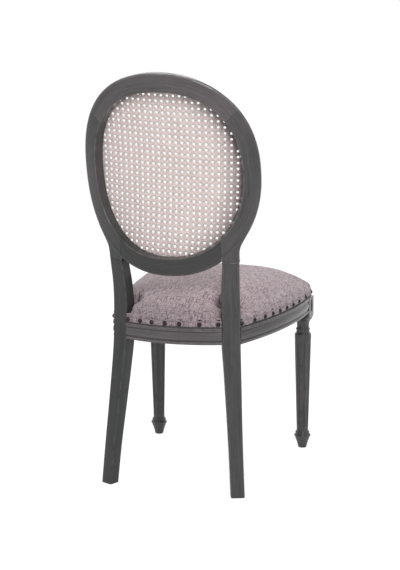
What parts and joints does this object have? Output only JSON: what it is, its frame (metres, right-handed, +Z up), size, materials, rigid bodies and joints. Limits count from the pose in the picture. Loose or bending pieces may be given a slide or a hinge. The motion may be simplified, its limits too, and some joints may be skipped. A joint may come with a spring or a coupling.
{
  "type": "caned dining chair",
  "caption": "Oval-back dining chair without arms: moulded wooden frame, woven cane back, nailed linen seat, turned and fluted front legs, swept rear legs.",
  "frame": {"origin": "on the floor, under the middle of the box round the chair", "axes": "+Z up, the chair's front faces -Y, the sitter's left is +X"},
  "size_m": [0.4642, 0.5541, 0.984],
  "materials": {
    "frame_wood": "charcoal stain, fine grain, satin",
    "inner_wood": "bare beech",
    "cane": "whitewashed rattan cane",
    "linen": "slubby linen, mauve grey",
    "foam": "polyurethane foam",
    "webbing": "jute webbing",
    "dust_cloth": "black spunbonded cloth",
    "nail_bronze": "dark bronze nail heads",
    "screw_steel": "zinc plated"
  },
  "bodies": {
    "root": {"crest_rail": "frame_wood", "left_back_stile": "frame_wood", "right_back_stile": "frame_wood", "lower_back_rail": "frame_wood", "cane_panel": "cane", "cane_spline": "cane", "left_rear_leg": "frame_wood", "right_rear_leg": "frame_wood", "left_front_leg": "frame_wood", "right_front_leg": "frame_wood", "front_seat_rail": "frame_wood", "back_seat_rail": "frame_wood", "left_seat_rail": "frame_wood", "right_seat_rail": "frame_wood", "left_front_corner_block": "inner_wood", "right_front_corner_block": "inner_wood", "left_rear_corner_block": "inner_wood", "right_rear_corner_block": "inner_wood", "corner_block_screws": "screw_steel", "seat_frame_dowels": "inner_wood", "seat_webbing": "webbing", "seat_foam": "foam", "seat_cover": "linen", "nail_heads": "nail_bronze", "dust_cover": "dust_cloth"}
  },
  "joints": []
}
